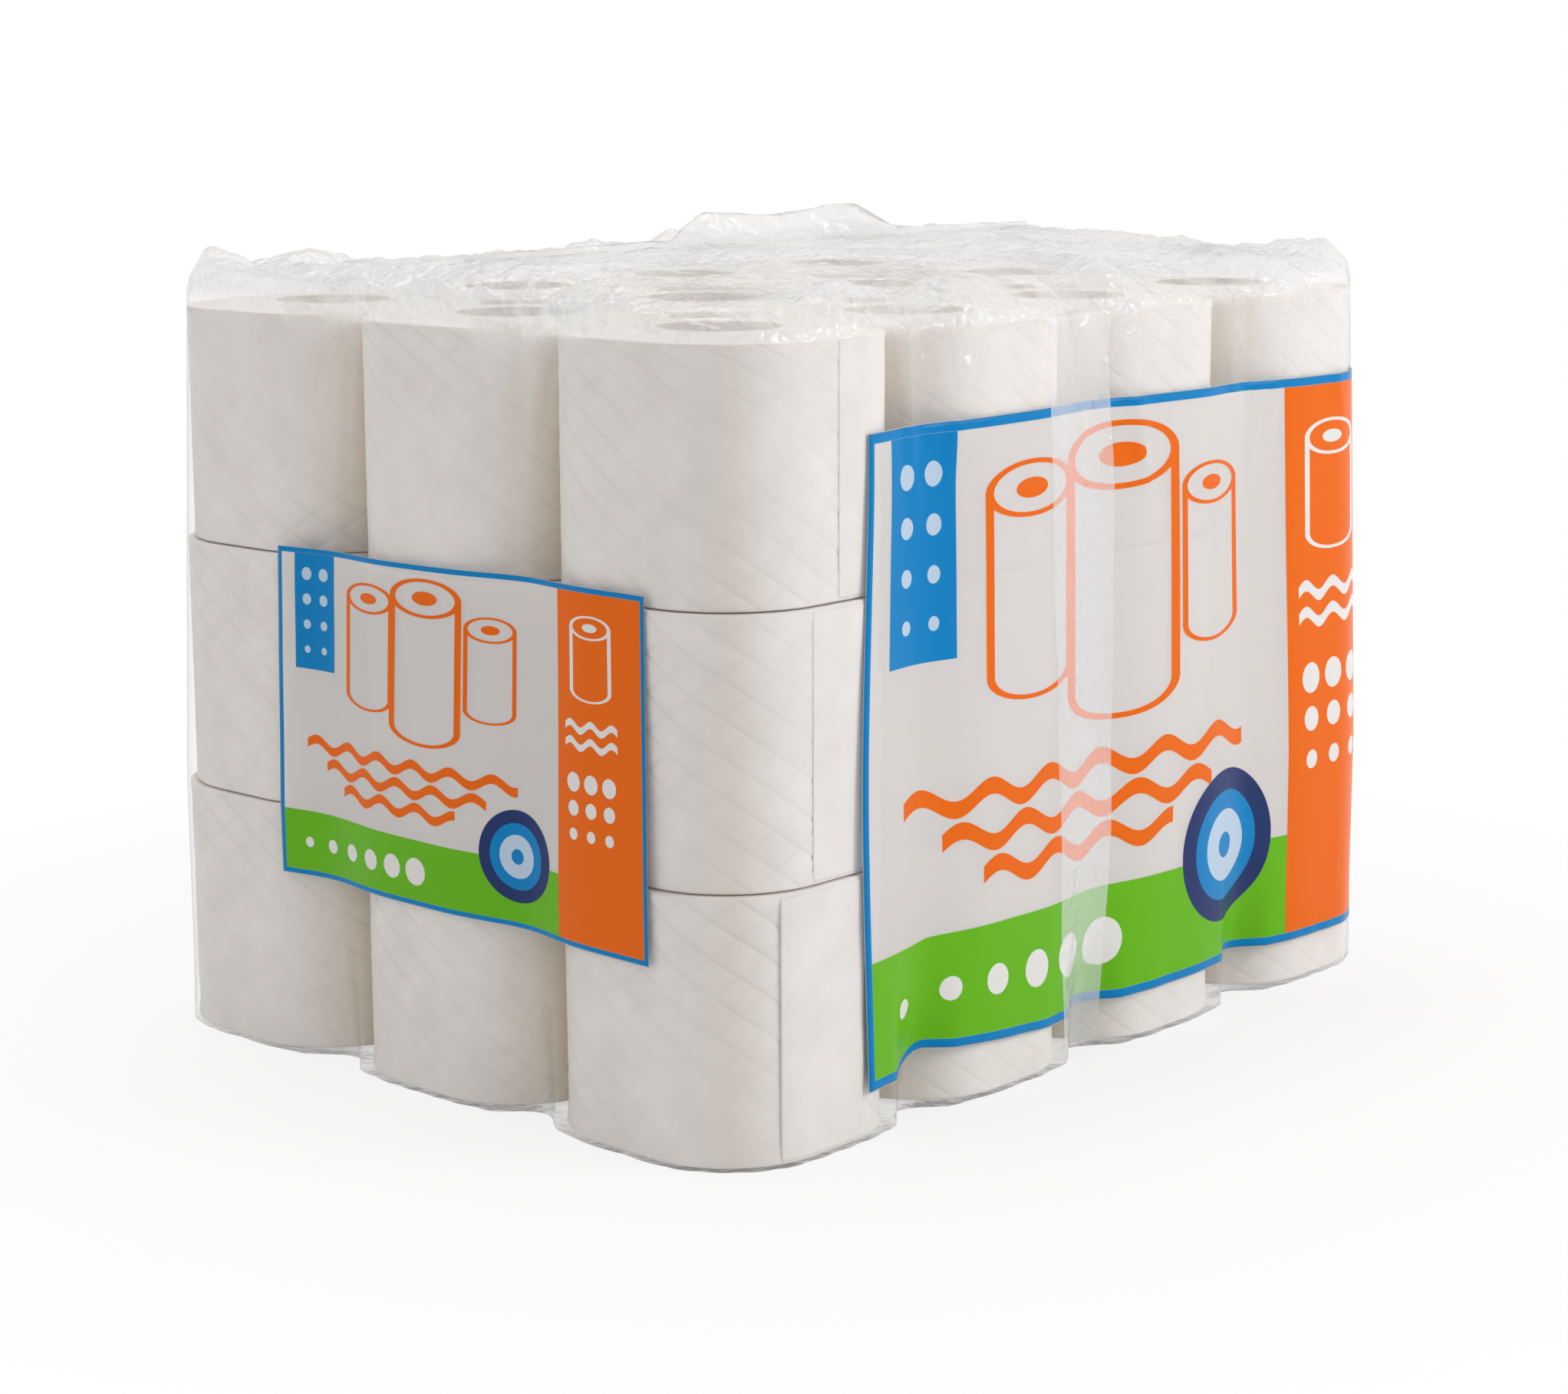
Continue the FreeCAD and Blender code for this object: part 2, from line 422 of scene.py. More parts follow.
# %% One quilted roll
END_SHARES = (0.0, 0.03, 0.10, 0.14, 0.28, 0.32, 0.50, 0.54, 0.72, 0.76, 0.93, 1.0)
END_STEP = 0.3 * mm
TOP_SINK = 5.0 * mm
RIM_SINK = 5.8 * mm
SOFT_EDGE = 0.8 * mm
# Where the droop and the soft edge of a top roll start, as shares of the way out to the next roll.
DROOP_FROM = 0.45
EDGE_FROM = 0.88
SOFT_REACH = 30 * mm


def tail_angle(layer, row, column):
    """Where the last sheet ends, in degrees round the roll, as in the solids."""
    return 244 + 14 * (layer - 1) + 97 * (column - 1) + 61 * (row - 1)


def tail_length(layer, row, column):
    """The length round the roll at which the last sheet ends."""
    angle = math.radians(tail_angle(layer, row, column))
    dense = np.linspace(0, ROUND, 1500)
    flat = outline_at(dense)[0]
    ahead = flat[:, 0] * math.cos(angle) + flat[:, 1] * math.sin(angle)
    off = np.abs(flat[:, 0] * math.sin(angle) - flat[:, 1] * math.cos(angle))
    return dense[np.argmin(np.where(ahead > 0, off, 1.0))]


def rim_ring(length, depth, turn, z_end, side):
    """A ring on the rounded rim, turn from 0 at the side to 1 at the end face."""
    flat, way = outline_at(length)
    inset = RIM_ROUND * (1 - math.cos(turn * math.pi / 2))
    z = z_end - side * RIM_ROUND * (1 - math.sin(turn * math.pi / 2))
    ring = flat - way * (inset + depth * (1 - turn))[:, None]
    return np.column_stack([ring, np.full(len(ring), z)])


def end_ring(length, share, z_end, side):
    """A ring on the end face, share of the way in to the bore, with the turns' edges as small steps."""
    flat, way = outline_at(length)
    ring = (flat - way * RIM_ROUND) * (1 - share) + way * CORE_RADIUS * share
    step = END_STEP * (share > 0) * (1 + math.sin(share * 97)) / 2
    return np.column_stack([ring, np.full(len(ring), z_end - side * step)])


def softness(z):
    """From 0 below the top rolls' soft ends to 1 at the stack's top."""
    return np.clip((z - stack_top) / SOFT_REACH + 1, 0, 1) ** 1.5


def sunk(points, layer, centre):
    """The points of a roll with a top roll's soft upper end pressed down, most of all at its rim."""
    if layer < LAYERS:
        return points
    soft = softness(points[..., 2])
    out = np.hypot(points[..., 0] - centre.x, points[..., 1] - centre.y) / (pitch_x / 2)
    droop, edge = [np.clip((out - start) / (1 - start), 0, 1) ** 2 for start in (DROOP_FROM, EDGE_FROM)]
    drop = TOP_SINK + (RIM_SINK - TOP_SINK) * droop + SOFT_EDGE * edge * soft**4
    lowered = points.copy()
    lowered[..., 2] -= drop * soft
    return lowered


def quilted_roll(layer, row, column):
    """One roll with relief on its side, soft rims, ringed ends and a bore."""
    low, high = roll_box(layer, row, column)
    centre = (low + high) / 2
    shift = 23 * mm * layer + 41 * mm * row + 67 * mm * column
    length = share_round * ROUND + shift
    flat, way = outline_at(length)
    z = RIM_ROUND + share_up * (ROLL_TALL - 2 * RIM_ROUND)
    dents = folds(paper_waves, np.sin(length / ROUND * 2 * math.pi) * 60 * mm + shift, z * 0.8 + length * 0.2)
    near_rim = np.clip(np.minimum(share_up, 1 - share_up) * 14, 0, 1)
    worn = 0.6 + 0.4 * np.sin(length * 37 + shift * 50) * np.sin(z * 43 + shift * 31)
    depth = relief * worn + DENT * (2.4 if layer == 1 else 0.8) * dents * near_rim
    side_points = np.dstack([flat - way * depth[..., None], low.z + z])
    rings = []
    for side, up, z_end in ((-1, 0, low.z), (1, LINES_UP, high.z)):
        edge_length, edge_depth = length[:, up], depth[:, up]
        part = [rim_ring(edge_length, edge_depth, turn, z_end, side) for turn in (0.35, 0.7)]
        part += [end_ring(edge_length, share, z_end, side) for share in END_SHARES]
        rings.append(part)
    points = np.vstack([side_points.reshape(-1, 3)] + rings[0] + rings[1]) + np.array([centre.x, centre.y, 0])
    points = sunk(points, layer, centre)
    faces = list(quilt_faces)
    tall, count, bores = LINES_UP + 1, LINES_ROUND, []
    for side, part in enumerate(rings):
        edge = [line * tall + (LINES_UP if side else 0) for line in range(count)]
        for ring in range(len(part)):
            level = numbered(count * (tall + side * len(part) + ring), count)
            faces += band(edge, level) if side else band(level, edge)
            edge = level
        bores.append(edge)
    turned = HALF_DIAMONDS_UP // 2 * len(STOPS)
    faces += band(bores[1][-turned:] + bores[1][:-turned], bores[0])
    piece = smooth_piece("quilted_" + roll_name(layer, row, column), points, faces)
    ends = np.zeros(len(points) - pressed.size)
    # The inside value paints a beige shade between the rolls, and the pressed value darkens the grooves.
    point_values(piece.data, "inside", painted_shade_depth(points))
    point_values(piece.data, "pressed", np.concatenate([(pressed * worn).ravel(), ends]))
    piece.data.materials.append(tissue)
    return piece


def painted_shade_depth(points):
    """How much painted shade the paper gets: from 0 at the pack's outer faces to 1 well between the rolls."""
    wide = np.interp(points[:, 2], layer_tops, layer_spread)
    off = np.minimum(half_x * wide - np.abs(points[:, 0]), half_y * wide - np.abs(points[:, 1]))
    off = np.minimum(off, np.maximum(stack_top - points[:, 2], 0))
    return np.clip((off - 3 * mm) / (22 * mm), 0, 1)


def tail_sheet(layer, row, column):
    """The loose end of the last sheet: a smooth thin wedge whose edge shows as a line."""
    low, high = roll_box(layer, row, column)
    centre = (low + high) / 2
    start = tail_length(layer, row, column)
    foot, head = low.z + 1.2 * mm, high.z - 1.2 * mm
    length, z = np.meshgrid(start + TAIL_WIDTH * edged(12), foot + (head - foot) * edged(18))
    flat, way = outline_at(length)
    share = (length - start) / TAIL_WIDTH
    wave = 0.12 * mm * np.sin(z * 190 + layer * 2.0) * np.sin(length * 300)
    lift = np.where(share > 0, TAIL_LIFT * (1 - share) + wave * share, -0.12 * mm)
    outer = np.dstack([flat + way * lift[..., None], z])
    inner = np.dstack([flat - way * (GROOVE_DEPTH * 0.6), z])
    middle = np.array([centre.x, centre.y, 0])
    outer, inner = [sunk(part + middle, layer, centre) for part in (outer, inner)]
    piece = closed_sheet("tail_" + roll_name(layer, row, column), outer, inner)
    # The inside value gives the tail the same painted beige shade between the rolls.
    point_values(piece.data, "inside", painted_shade_depth(np.vstack([outer.reshape(-1, 3), inner.reshape(-1, 3)])))
    piece.data.materials.append(tissue)
    return piece


for layer, row, column in roll_places:
    roll = quilted_roll(layer, row, column)
    tail = tail_sheet(layer, row, column)
    for piece in (roll, tail):
        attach(piece, "root")
    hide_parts(roll_name(layer, row, column))

# %% [markdown]
# ## Cores
# Each roll has a cardboard tube wound from strips, whose edge shows as a slanting line inside. All tubes
# are alike, so one is drawn in Geometry Nodes, with its sizes as inputs, and placed on a point per roll.
# The export drops instances, so they are made real and turned into a plain mesh.

# %% The cores' node tree
CORE_WALL = 1.2 * mm
CORE_OUTER = 22.35 * mm
LAP_RISE = 0.25 * mm
CORE_INPUTS = {"Radius": CORE_OUTER - CORE_WALL / 2, "Wall": CORE_WALL, "Height": ROLL_TALL - TOP_SINK,
               "Lap": LAP_RISE, "Turns": 1.6}


def core_tree():
    tree = bpy.data.node_groups.new("wound cores", "GeometryNodeTree")
    tree.interface.new_socket("Geometry", in_out="INPUT", socket_type="NodeSocketGeometry")
    for label, value in CORE_INPUTS.items():
        tree.interface.new_socket(label, in_out="INPUT", socket_type="NodeSocketFloat").default_value = value
    tree.interface.new_socket("Geometry", in_out="OUTPUT", socket_type="NodeSocketGeometry")
    given = tree.nodes.new("NodeGroupInput").outputs
    radius, wall, tall, lap = [given[label] for label in ("Radius", "Wall", "Height", "Lap")]
    inner = calc(tree, "SUBTRACT", radius, calc(tree, "MULTIPLY", wall, 0.5))
    circle = added(tree, "GeometryNodeCurvePrimitiveCircle", {"Resolution": 40, "Radius": radius})
    helix = added(tree, "GeometryNodeCurveSpiral", {
        "Resolution": 36, "Rotations": given["Turns"], "Height": tall,
        "Start Radius": inner, "End Radius": inner})
    middle = added(tree, "ShaderNodeCombineXYZ", {"Z": calc(tree, "MULTIPLY", tall, 0.5)}).outputs[0]
    parts = tree.nodes.new("GeometryNodeJoinGeometry")
    sweeps = ((circle, wall, tall, middle, False), (helix, lap, lap, (0, 0, 0), True))
    for curve, wide, high, place, capped in sweeps:
        section = added(tree, "GeometryNodeCurvePrimitiveQuadrilateral", {"Width": wide, "Height": high})
        sweep = added(tree, "GeometryNodeCurveToMesh", {
            "Curve": curve.outputs["Curve"], "Profile Curve": section.outputs["Curve"], "Fill Caps": capped})
        swept = sweep.outputs["Mesh"]
        moved = added(tree, "GeometryNodeTransform", {"Geometry": swept, "Translation": place})
        tree.links.new(moved.outputs["Geometry"], parts.inputs["Geometry"])
    spread = added(tree, "GeometryNodeInstanceOnPoints", {
        "Points": given["Geometry"], "Instance": parts.outputs["Geometry"]})
    real = added(tree, "GeometryNodeRealizeInstances", {"Geometry": spread.outputs["Instances"]})
    paint = added(tree, "GeometryNodeSetMaterial", {
        "Geometry": real.outputs["Geometry"], "Material": cardboard})
    added(tree, "NodeGroupOutput", {"Geometry": paint.outputs["Geometry"]})
    return tree


# %% Cores on every roll
def plain_copy(piece, name):
    """The evaluated object as a plain mesh, with its faces turned outwards."""
    seen = piece.evaluated_get(bpy.context.evaluated_depsgraph_get())
    mesh = bpy.data.meshes.new_from_object(seen)
    shape = bmesh.new()
    shape.from_mesh(mesh)
    bmesh.ops.remove_doubles(shape, verts=shape.verts, dist=0.01 * mm)
    bmesh.ops.recalc_face_normals(shape, faces=shape.faces)
    shape.to_mesh(mesh)
    shape.free()
    bpy.data.objects.remove(piece)
    return shown(name, mesh)


feet = [(*roll_middle(*place).xy, roll_box(*place)[0].z) for place in roll_places]
core_points = bpy.data.meshes.new("core places")
core_points.from_pydata(feet, [], [])
winding = shown("core places", core_points).modifiers.new("cores", "NODES")
winding.node_group = core_tree()
for socket in winding.node_group.interface.items_tree:
    if socket.in_out == "INPUT" and socket.name in CORE_INPUTS:
        winding[socket.identifier] = CORE_INPUTS[socket.name]
cores = plain_copy(winding.id_data, "cardboard_cores")
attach(cores, "root")
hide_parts(*["cores_row%d_column%d" % (row, column) for row in (1, 2, 3) for column in (1, 2, 3, 4)])

# %% [markdown]
# ## The film's way round the pack
# The film follows the outside of the rolls and dips into the valleys between them. One function gives the
# place on any side for a length along it and a height, with all creases, so the film, the lap seal and the
# printed panels lie on each other without crossing.

# %% Places on the film's wall
SKIN = 1.0 * mm
VALLEY = 4.5 * mm
FOOT_TUCK = 9.0 * mm
FOOT_REACH = 42 * mm
CREASE = 1.1 * mm
SIDES = {"front": ((1, 0), half_x, half_y, pitch_x, 0.0), "right": ((0, 1), half_y, half_x, pitch_y, 1.0),
         "back": ((-1, 0), half_x, half_y, pitch_x, 2.0), "left": ((0, -1), half_y, half_x, pitch_y, 3.0)}
top_waves = make_waves(18, 7 * mm, 55 * mm)
fine_waves = make_waves(9, 5 * mm, 14 * mm)
flap_waves = make_waves(7, 14 * mm, 60 * mm)
wall_waves = make_waves(9, 22 * mm, 110 * mm)
broad_waves = make_waves(3, 60 * mm, 130 * mm)


def side_spots(side, place):
    """Base points, outward ways and valley shares for lengths along a side, measured from its middle."""
    along, half, depth, pitch = SIDES[side][:4]
    along = np.array(along, float)
    out = np.array([along[1], -along[0]])
    flat = half - corner_radius
    straight = np.clip(place, -flat, flat)
    angle = np.clip(np.abs(place) - flat, 0, None) / corner_radius
    sideways = np.sin(angle) * np.sign(place)
    ways = out * np.cos(angle)[:, None] + along * sideways[:, None]
    points = along * straight[:, None] + out * (depth - corner_radius) + ways * corner_radius
    share = ((1 + np.cos(2 * math.pi * (place + half) / pitch)) / 2) ** 2
    share = np.where(np.abs(place) > half - pitch / 2, 0.0, share)
    return points, ways, share


def run_length(side, place):
    """A length that runs on round the pack, for folds that don't break at corners."""
    turn = SIDES[side][4]
    return place + turn * (half_x + half_y - corner_radius * (2 - math.pi / 2))


def spread_at(z):
    return np.interp(z, [0.0] + layer_tops, [layer_spread[0]] + layer_spread)


def dip_at(z):
    """The valleys' depth by height: a little deeper at the top, where the film is folded in."""
    return np.interp(z, [0, 0.22, stack_top], [VALLEY, VALLEY, VALLEY + 1.5 * mm])


# %% [markdown]
# The film is gathered at the top edge, and each gather is a narrow ridge that starts at the rolls' rim and
# runs out lower down. On the long face the widest ones stand beside the valleys, as in the photograph, and
# a fixed seed places the rest.

# %% Pleats of the film


def pleat_set(valleys, count):
    """Pleats near each valley: place at the rim, place at the low end, low end's height, width and rise."""
    rows = []
    for valley in valleys:
        for _ in range(count):
            start = valley + rng.uniform(-34, 34) * mm
            end = start + (valley - start) * rng.uniform(0.2, 1.1)
            low = stack_top - rng.uniform(28, 95) * mm
            width, height = rng.uniform(4, 11) * mm, rng.uniform(0.8, 2.2) * mm
            rows.append((start, end, low, width, height))
    return rows


LONG_VALLEYS = (-pitch_x, 0, pitch_x)
SHORT_VALLEYS = (-pitch_y / 2, pitch_y / 2)
WIDE_PLEATS = [(-pitch_x + 26 * mm, -pitch_x + 16 * mm, 0.232, 11 * mm, 2.6 * mm),
               (17 * mm, 33 * mm, 0.205, 11 * mm, 2.8 * mm),
               (pitch_x - 14 * mm, pitch_x + 22 * mm, 0.240, 5 * mm, 1.8 * mm),
               (pitch_x + 52 * mm, pitch_x + 70 * mm, 0.228, 6 * mm, 1.6 * mm)]
PLEATS = {"front": WIDE_PLEATS + pleat_set(LONG_VALLEYS, 5), "right": pleat_set(SHORT_VALLEYS, 5),
          "back": pleat_set(LONG_VALLEYS, 6), "left": pleat_set(SHORT_VALLEYS, 5)}


def pleat_at(side, place, z):
    """The pleats' rise at lengths along a side and heights, and how much they double the film."""
    rise, fold = np.zeros_like(place), np.zeros_like(place)
    for start, end, low, width, height in PLEATS[side]:
        up = np.clip((z - low) / (stack_top - low), 0, 1)
        across = np.abs(place - (end + (start - end) * up)) / (width * (0.15 + up))
        ridge = np.clip(1 - across, 0, 1) * up
        rise = np.maximum(rise, ridge**0.8 * height)
        fold = np.maximum(fold, np.clip(ridge * 2, 0, 1) * up**0.5 * (0.30 if width > 10 * mm else 0.12))
    foot = np.exp(-((z / 0.022) ** 2)) * np.abs(np.sin(place * math.pi / 0.019 + np.sin(place * 41) * 2))
    return rise + foot * 0.9 * mm, fold


def wall_at(side, place, z, lift=0.0):
    """Points on the film's wall for arrays of lengths along a side and heights, lifted off its surface."""
    shape = np.broadcast(place, z).shape
    place, z = np.broadcast_to(place, shape).ravel(), np.broadcast_to(z, shape).ravel()
    points, ways, share = side_spots(side, place)
    crease = (folds(wall_waves, run_length(side, place), z * 0.5) - 0.5) * CREASE * (0.4 + share)
    tuck = FOOT_TUCK * np.clip(2.2 * share - 1.2, 0, 1) ** 1.5 * np.exp(-((z / FOOT_REACH) ** 2))
    pleats = pleat_at(side, place, z)[0]
    out = SKIN - dip_at(z) * share - tuck + crease + pleats + np.broadcast_to(lift, shape).ravel()
    flat = points * spread_at(z)[:, None] + ways * out[:, None]
    return np.column_stack([flat, z]).reshape(*shape, 3)


# %% [markdown]
# ## The film
# The wall, foot and folded top are one closed skin of rings. A point attribute called haze stores how milky
# the film is at each place: faint on the tight wall and stronger on the crumpled top. Down the valleys'
# middles it is raised to paint the highlight of the film's fold.

# %% Rings of the film's wall
WALL_STEP = 3.2 * mm
# The reach of the veils below the rim and above the foot, and how milky each is.
RIM_VEIL, RIM_HAZE = 2 * mm, 0.4
TOP_VEIL, TOP_HAZE = 42 * mm, 0.08
FOOT_VEIL, FOOT_HAZE = 22 * mm, 0.14
# The valleys' haze is a milkier band that stands in for the highlight on the film's fold: a painted
# highlight.
LEAST_HAZE, VALLEY_HIGHLIGHT_HAZE = 0.04, 0.15


def ring_places():
    """For each side, the lengths along it at which a ring has points."""
    places = {}
    for side in SIDES:
        flat = SIDES[side][1] - corner_radius
        run = np.linspace(-flat, flat, int(2 * flat / WALL_STEP))
        arc = flat + np.linspace(0, corner_radius * math.pi / 2, 20)[1:-1]
        places[side] = np.concatenate([run, arc])
    return places


places = ring_places()
around = sum(len(part) for part in places.values())
base_round, way_round, valley_round = [
    np.concatenate([side_spots(side, place)[k] for side, place in places.items()]) for k in range(3)]
off_corner = np.hypot(half_x - np.abs(base_round[:, 0]), half_y - np.abs(base_round[:, 1])) / corner_radius
near_corner = (base_round[:, 0] < 0) & (base_round[:, 1] < 0)
tip_round = np.where(near_corner, 0.0, np.clip(1.25 - 0.55 * off_corner, 0, 1))


def settled(z):
    """Heights round a ring: the film follows the top rolls' soft rims down, but stands up at the corners."""
    return z - RIM_SINK * softness(z) * (1 - tip_round)


def wall_ring(z, inset=0.0):
    """One level of the film's wall, with its creases and its haze."""
    heights, start, ring, folded = settled(z), 0, [], []
    for side, place in places.items():
        here = heights[start:start + len(place)]
        start += len(place)
        ring.append(wall_at(side, place, here, -inset))
        folded.append(pleat_at(side, place, here)[1])
    below_rim = settled(stack_top) - heights
    haze = LEAST_HAZE + RIM_HAZE * np.exp(-((below_rim / RIM_VEIL) ** 2))
    haze += TOP_HAZE * np.exp(-((below_rim / TOP_VEIL) ** 2)) + np.concatenate(folded)
    # Painted highlight: a milkier band down each valley's middle, where the film's fold would catch light.
    haze += VALLEY_HIGHLIGHT_HAZE * np.clip(12 * valley_round - 11, 0, 1)
    haze += FOOT_HAZE * (0.2 + 0.8 * valley_round) * np.exp(-((heights / FOOT_VEIL) ** 2))
    return np.vstack(ring), haze


length_round = np.concatenate([run_length(side, place) for side, place in places.items()])
puff_round = 0.1 + 2.4 * folds(broad_waves, length_round, length_round * 0.3) ** 1.5
rim_pleats = np.concatenate(
    [pleat_at(side, place, np.full(len(place), stack_top))[0] for side, place in places.items()])

# %% [markdown]
# The top is folded in from all sides to one long seal. Its crumples are steeper than the wall's, and its
# outline puffs up just inside the rolls' edge, because there is more film than the rolls fill.

# %% Rings of the folded top
TOP_RISE = 12 * mm
PUFF = 4.5 * mm
GATHER = 3.0 * mm
CORNER_TIP = 3.5 * mm
CRUMPLE = 9 * mm
SEAL_HALF = 160 * mm
SEAL_THICK = 1.2 * mm
CROWN = stack_top + 2.1 * mm


def top_ring(part):
    """One level of the folded top, part of the way from the pack's edge to the long seal."""
    wide = layer_spread[-1]
    narrow_x = 1 - part * (1 - SEAL_HALF / half_x)
    narrow_y = 1 - part * (1 - SEAL_THICK / half_y)
    push = SKIN + rim_pleats * (1 - part) ** 3 - dip_at(stack_top) * valley_round * (1 - part) ** 4
    x = (base_round[:, 0] * wide + way_round[:, 0] * push) * narrow_x
    y = (base_round[:, 1] * wide + way_round[:, 1] * push) * narrow_y
    lively = min(1.0, part * 22) * min(1.0, (1 - part) * 3 + 0.4)
    crumple = CRUMPLE * (folds(top_waves, x, y) - 0.42) + 2.2 * mm * (folds(fine_waves, x, y) - 0.4)
    rise = TOP_RISE * part**0.7 + crumple * lively
    rise += PUFF * puff_round * math.sin(min(1.0, part * 5) * math.pi) * (part < 1 / 5)
    rise += rim_pleats * 1.2 * math.sin(math.pi * min(1.0, part * 2.5 + 0.1)) * (part < 0.36)
    rise += CORNER_TIP * tip_round * math.sin(min(1.0, part * 9) * math.pi) * (part < 1 / 9)
    rise -= GATHER * valley_round * (1 - part) ** 2
    sink = (stack_top - settled(stack_top)) * max(0.0, 1 - part * 2.2) ** 1.5
    floor = stack_top - TOP_SINK * (part > 0.1) + 0.8 * mm - 2.4 * mm * valley_round * (1 - part) ** 2
    return np.column_stack([x, y, np.maximum(CROWN + rise, floor) - sink])


# %% The seal along the top
# Heights of the standing seal along the pack: low at its ends, with a flap that peaks right of the middle.
FLAP_PLACES = np.array([-160, -66, -60, -42, -11, 7, 44, 50, 60, 72, 160]) * mm
FLAP_HEIGHTS = np.array([2, 3, 6, 13, 10.5, 10.5, 15, 14, 7, 3, 2]) * mm
FLAP_LEAN = 7 * mm


def seal_ring(base, share):
    """A level of the long seal, which stands up as a flap in the middle and leans over."""
    tall = np.interp(base[:, 0], FLAP_PLACES, FLAP_HEIGHTS)
    lift = tall * share
    wave = 5 * mm * (folds(flap_waves, base[:, 0], base[:, 0] * 0.3 + lift * 2) - 0.4)
    ring = base.copy()
    ring[:, 1] = base[:, 1] * (1 - 0.7 * share) + FLAP_LEAN * lift / FLAP_HEIGHTS.max() + wave * share
    ring[:, 2] = np.minimum(base[:, 2] + lift, film_top)
    return ring


# %% Build the film
UNDER_HAZE, EDGE_HAZE, SEAL_HAZE = 0.15, 0.7, 0.42


def film_skin():
    """All rings of the skin, from the middle of the foot to the seal's edge, and their haze."""
    rings = [np.column_stack([base_round * share, np.full(around, 0.0)]) for share in (0.02, 0.35, 0.7, 0.9)]
    haze = [np.full(around, UNDER_HAZE)] * len(rings)
    levels = [(0.0, 0.9 * mm), (0.8 * mm, 0.0)] + [(z, 0.0) for z in np.linspace(4 * mm, stack_top, 84)]
    for z, inset in levels:
        ring, milky = wall_ring(z, inset)
        rings.append(ring)
        haze.append(milky)
    for part in np.concatenate([np.linspace(0.008, 0.16, 18), np.linspace(0.17, 1.0, 62)]):
        ring = top_ring(part)
        rings.append(ring)
        patches = folds(wall_waves, ring[:, 0] * 1.6, ring[:, 1] * 1.6)
        haze.append(np.clip(0.1 + 1.15 * patches, 0.3, 0.9) if part > 0.03 else np.full(around, EDGE_HAZE))
    base = rings[-1]
    for share in (0.2, 0.45, 0.7, 0.9, 1.0):
        rings.append(seal_ring(base, share))
        haze.append(np.full(around, SEAL_HAZE))
    return rings, np.concatenate(haze)


film_rings, film_haze = film_skin()
film_points = np.vstack(film_rings)
film_points[:, 2] = np.clip(film_points[:, 2], 0.0, film_top)
film_levels = [numbered(level * around, around) for level in range(len(film_rings))]
film_faces = [face for below, above in zip(film_levels, film_levels[1:]) for face in band(below, above)]
film_faces += [tuple(reversed(film_levels[0])), tuple(film_levels[-1])]
film = smooth_piece("clear_film", film_points, film_faces)
point_values(film.data, "haze", film_haze)

# %% [markdown]
# ## The film's finish
# Clear film is three things at once: it lets most light through, it mirrors a little of the room, more at
# a slant, and its scuffs scatter a milky veil. A Transparent and a Glossy shader are mixed by the slant,
# and then a white veil by the haze attribute. The Fresnel node would take light that leaves the pack for
# light inside solid plastic and block it, so the share comes from Facing, which has no inside. Shadow and
# diffuse rays pass the film as if it weren't there, since its veil would darken the paper under it. That
# choice is the outermost mix, so such rays skip the film's textures and the render is quicker.

# %% Film material


def crumple_group():
    """Flat facets that meet in sharp lines, at two scales, as a height for bumps."""
    tree, _, result = new_group("crumples", [], [("Height", "NodeSocketFloat")])
    place = tree.nodes.new("ShaderNodeTexCoord").outputs["Object"]
    parts = []
    for scale, weight in ((70.0, 0.6), (170.0, 0.4)):
        cells = added(tree, "ShaderNodeTexVoronoi", {"Scale": scale, "Vector": place})
        cells.feature = "DISTANCE_TO_EDGE"
        parts.append(calc(tree, "MULTIPLY", cells.outputs["Distance"], weight))
    tree.links.new(calc(tree, "ADD", *parts), result.inputs["Height"])
    return tree


crumples = crumple_group()


def mixed(tree, share, first, second):
    """Two shaders mixed by a share; gives the mixing node."""
    return added(tree, "ShaderNodeMixShader", {0: share, 1: first.outputs[0], 2: second.outputs[0]})


def surface_from(tree, node):
    """Makes a node's shader the material's surface."""
    tree.links.new(node.outputs[0], tree.nodes["Material Output"].inputs["Surface"])


def film_material():
    material, tree, veil = new_material("clear film")
    fine, haze = place_grain(tree, 260.0), stored(tree, "haze")
    height = calc(tree, "MULTIPLY", grouped(tree, crumples, {}).outputs["Height"], haze)
    normal = bump(tree, calc(tree, "MULTIPLY_ADD", fine["Grain"], 0.05, height), 1.0, 6 * mm)
    patchy = calc(tree, "MULTIPLY_ADD", fine["Cloud"], 0.9, 0.55)
    cover = calc(tree, "MULTIPLY", haze, patchy, clamp=True)
    slant = added(tree, "ShaderNodeLayerWeight", {"Blend": 0.5, "Normal": normal}).outputs["Facing"]
    mirror = calc(tree, "MULTIPLY_ADD", calc(tree, "POWER", slant, 5.0), 0.9, 0.04)
    clear, unseen = [tree.nodes.new("ShaderNodeBsdfTransparent") for _ in range(2)]
    gloss = added(tree, "ShaderNodeBsdfGlossy", {"Roughness": 0.1, "Normal": normal})
    fed(tree, veil, {"Base Color": srgb(250, 250, 250), "Roughness": 0.3, "Normal": normal})
    through = added(tree, "ShaderNodeBsdfTranslucent", {"Color": srgb(252, 252, 252), "Normal": normal})
    thin = mixed(tree, mirror, clear, gloss)
    seen = mixed(tree, cover, thin, mixed(tree, 0.35, veil, through))
    path = tree.nodes.new("ShaderNodeLightPath").outputs
    passing = calc(tree, "MAXIMUM", path["Is Shadow Ray"], path["Is Diffuse Ray"])
    surface_from(tree, mixed(tree, passing, seen, unseen))
    return material


clear_film = film_material()
film.data.materials.append(clear_film)
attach(film, "root")
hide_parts("film_wrap")

# %% [markdown]
# ## The lap seal
# Where the film's two ends overlap, a double strip runs up the long face and veils the print under it. It
# is a closed strip just outside the wall, a little slanted as on the real pack.

